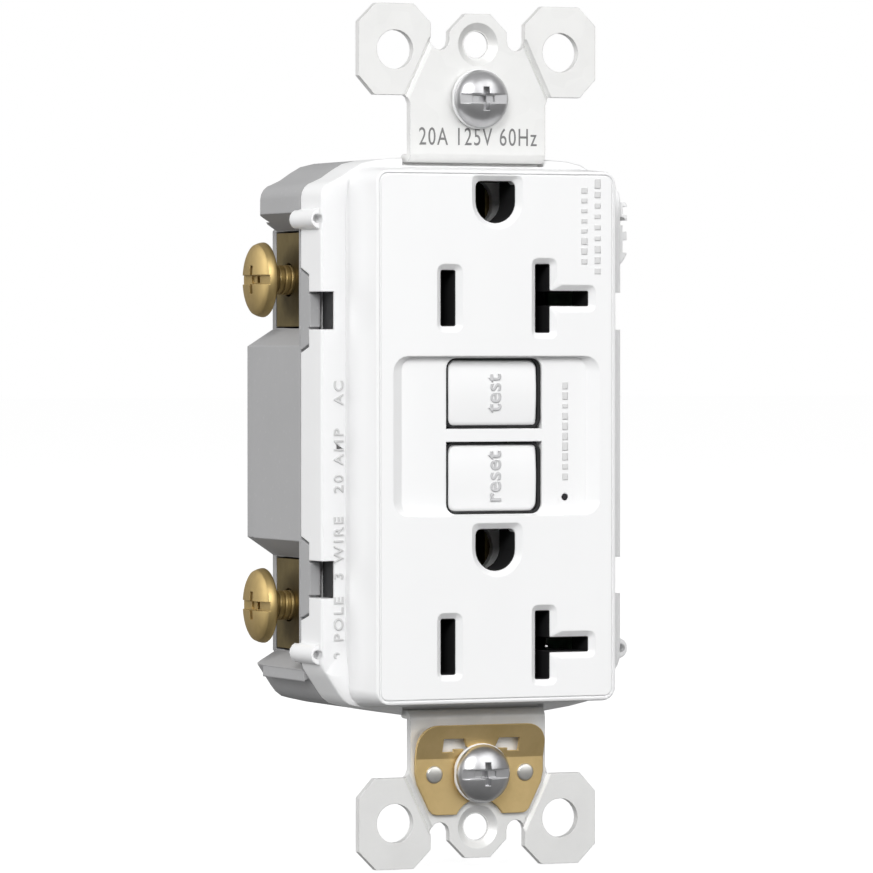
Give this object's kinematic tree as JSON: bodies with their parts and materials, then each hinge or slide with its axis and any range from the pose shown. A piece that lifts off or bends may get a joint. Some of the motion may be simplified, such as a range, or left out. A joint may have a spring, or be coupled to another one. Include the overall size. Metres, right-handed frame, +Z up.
{
  "type": "gfci outlet",
  "caption": "Decorator-style ground-fault duplex receptacle with test and reset buttons, side screw terminals, a bent steel strap and long box screws.",
  "frame": {"origin": "middle of the mounting strap's rear plane, where its ends rest on the wall box", "axes": "+X to the right seen from the front, +Y into the wall, +Z up along the strap"},
  "size_m": [0.044, 0.0326, 0.1066],
  "materials": {
    "white_plastic": "moulded, satin white",
    "grey_plastic": "moulded, fine matte grey",
    "black_plastic": "moulded, matte black",
    "galvanised_steel": "zinc plated, softly streaked",
    "brass": "stamped brass, plain",
    "nickel_plate": "nickel plated",
    "green_screw": "green dyed plating",
    "copper_wire": "enamelled copper winding",
    "circuit_board": "green solder mask",
    "blue_coating": "dipped blue coating",
    "indicator_lens": "dark clear plastic"
  },
  "bodies": {
    "device": {"front_cover": "white_plastic", "rear_housing": "grey_plastic", "middle_housing": "black_plastic", "sensing_coil_case": "black_plastic", "control_chip": "black_plastic", "storage_capacitor": "black_plastic", "solenoid_bobbin": "black_plastic", "mounting_strap": "galvanised_steel", "clip_rivet_left": "galvanised_steel", "clip_rivet_right": "galvanised_steel", "case_screw_upper_left": "galvanised_steel", "case_screw_upper_right": "galvanised_steel", "case_screw_lower_left": "galvanised_steel", "case_screw_lower_right": "galvanised_steel", "test_button_spring": "galvanised_steel", "reset_button_spring": "galvanised_steel", "self_ground_clip": "brass", "hot_contact_strip": "brass", "ground_contact_upper": "brass", "ground_contact_lower": "brass", "hot_terminal_upper": "brass", "hot_terminal_lower": "brass", "test_contact_leaf": "brass", "neutral_contact_strip": "nickel_plate", "neutral_terminal_upper": "nickel_plate", "neutral_terminal_lower": "nickel_plate", "solenoid_coil": "copper_wire", "circuit_board": "circuit_board", "surge_absorber": "blue_coating", "test_resistor": "blue_coating", "indicator_light_pipe": "indicator_lens", "indicator_lamp": "indicator_lens"},
    "test_button": {"test_button": "white_plastic"},
    "reset_button": {"reset_button": "white_plastic", "reset_pin": "galvanised_steel"},
    "contact_carrier": {"contact_lifter": "black_plastic", "hot_moving_contact": "brass", "neutral_moving_contact": "nickel_plate"},
    "solenoid_plunger": {"solenoid_plunger": "galvanised_steel"},
    "latch": {"latch_plate": "galvanised_steel"},
    "ground_washer": {"ground_clamp_washer": "green_screw"},
    "ground_screw": {"ground_screw": "green_screw"},
    "hot_clamp_upper": {"hot_clamp_upper": "brass"},
    "hot_screw_upper": {"hot_screw_upper": "brass"},
    "hot_clamp_lower": {"hot_clamp_lower": "brass"},
    "hot_screw_lower": {"hot_screw_lower": "brass"},
    "neutral_clamp_upper": {"neutral_clamp_upper": "nickel_plate"},
    "neutral_screw_upper": {"neutral_screw_upper": "nickel_plate"},
    "neutral_clamp_lower": {"neutral_clamp_lower": "nickel_plate"},
    "neutral_screw_lower": {"neutral_screw_lower": "nickel_plate"},
    "retaining_washer_upper": {"retaining_washer_upper": "white_plastic"},
    "device_screw_upper": {"device_screw_upper": "galvanised_steel"},
    "retaining_washer_lower": {"retaining_washer_lower": "white_plastic"},
    "device_screw_lower": {"device_screw_lower": "galvanised_steel"}
  },
  "joints": [
    {"name": "test_button_press", "type": "slide", "parent": "device", "child": "test_button", "axis": [0, 1, 0], "range_m": [0, 0.0011], "stiffness_N_per_m": 600, "springref_m": -0.002, "deforming": ["test_button_spring"]},
    {"name": "reset_button_press", "type": "slide", "parent": "device", "child": "reset_button", "axis": [0, 1, 0], "range_m": [0, 0.0018], "stiffness_N_per_m": 600, "springref_m": -0.002, "deforming": ["reset_button_spring"]},
    {"name": "contact_trip", "type": "slide", "parent": "device", "child": "contact_carrier", "axis": [0, 1, 0], "range_m": [0, 0.0012]},
    {"name": "plunger_stroke", "type": "slide", "parent": "device", "child": "solenoid_plunger", "axis": [0, 0, 1], "range_m": [0, 0.0009]},
    {"name": "latch_shift", "type": "slide", "parent": "contact_carrier", "child": "latch", "axis": [0, 0, 1], "range_m": [0, 0.0009]},
    {"name": "hot_upper_clamp_travel", "type": "slide", "parent": "device", "child": "hot_clamp_upper", "axis": [1, 0, 0], "range_m": [0, 0.0032]},
    {"name": "hot_upper_screw_turn", "type": "hinge", "parent": "hot_clamp_upper", "child": "hot_screw_upper", "pos_m": [-0.0202, 0.0196, 0.01946], "axis": [1, 0, 0], "range_deg": [0, 1451.4]},
    {"name": "hot_lower_clamp_travel", "type": "slide", "parent": "device", "child": "hot_clamp_lower", "axis": [1, 0, 0], "range_m": [0, 0.0032]},
    {"name": "hot_lower_screw_turn", "type": "hinge", "parent": "hot_clamp_lower", "child": "hot_screw_lower", "pos_m": [-0.0202, 0.0196, -0.02142], "axis": [1, 0, 0], "range_deg": [0, 1451.4]},
    {"name": "neutral_upper_clamp_travel", "type": "slide", "parent": "device", "child": "neutral_clamp_upper", "axis": [-1, 0, 0], "range_m": [0, 0.0032]},
    {"name": "neutral_upper_screw_turn", "type": "hinge", "parent": "neutral_clamp_upper", "child": "neutral_screw_upper", "pos_m": [0.0202, 0.0196, 0.01946], "axis": [-1, 0, 0], "range_deg": [0, 1451.4]},
    {"name": "neutral_lower_clamp_travel", "type": "slide", "parent": "device", "child": "neutral_clamp_lower", "axis": [-1, 0, 0], "range_m": [0, 0.0032]},
    {"name": "neutral_lower_screw_turn", "type": "hinge", "parent": "neutral_clamp_lower", "child": "neutral_screw_lower", "pos_m": [0.0202, 0.0196, -0.02142], "axis": [-1, 0, 0], "range_deg": [0, 1451.4]},
    {"name": "ground_washer_travel", "type": "slide", "parent": "device", "child": "ground_washer", "axis": [-1, 0, 0], "range_m": [0, 0.0017]},
    {"name": "ground_screw_turn", "type": "hinge", "parent": "ground_washer", "child": "ground_screw", "pos_m": [0.01775, 0.015, 0], "axis": [-1, 0, 0], "range_deg": [0, 771.1]},
    {"name": "upper_screw_withdraw", "type": "slide", "parent": "device", "child": "retaining_washer_upper", "axis": [0, -1, 0], "range_m": [0, 0.005]},
    {"name": "upper_screw_turn", "type": "hinge", "parent": "retaining_washer_upper", "child": "device_screw_upper", "pos_m": [0, -0.00194, 0.04167], "axis": [0, -1, 0], "range_deg": [0, 2267.8]},
    {"name": "lower_screw_withdraw", "type": "slide", "parent": "device", "child": "retaining_washer_lower", "axis": [0, -1, 0], "range_m": [0, 0.005]},
    {"name": "lower_screw_turn", "type": "hinge", "parent": "retaining_washer_lower", "child": "device_screw_lower", "pos_m": [0, -0.00194, -0.04167], "axis": [0, -1, 0], "range_deg": [0, 2267.8]}
  ],
  "couplings": [
    {"joint": "latch_shift", "follows": "plunger_stroke", "ratio": 1},
    {"joint": "hot_upper_screw_turn", "follows": "hot_upper_clamp_travel", "rad_per_m": 7915.8},
    {"joint": "hot_lower_screw_turn", "follows": "hot_lower_clamp_travel", "rad_per_m": 7915.8},
    {"joint": "neutral_upper_screw_turn", "follows": "neutral_upper_clamp_travel", "rad_per_m": 7915.8},
    {"joint": "neutral_lower_screw_turn", "follows": "neutral_lower_clamp_travel", "rad_per_m": 7915.8},
    {"joint": "ground_screw_turn", "follows": "ground_washer_travel", "rad_per_m": 7915.8},
    {"joint": "upper_screw_turn", "follows": "upper_screw_withdraw", "rad_per_m": 7915.8},
    {"joint": "lower_screw_turn", "follows": "lower_screw_withdraw", "rad_per_m": 7915.8}
  ]
}
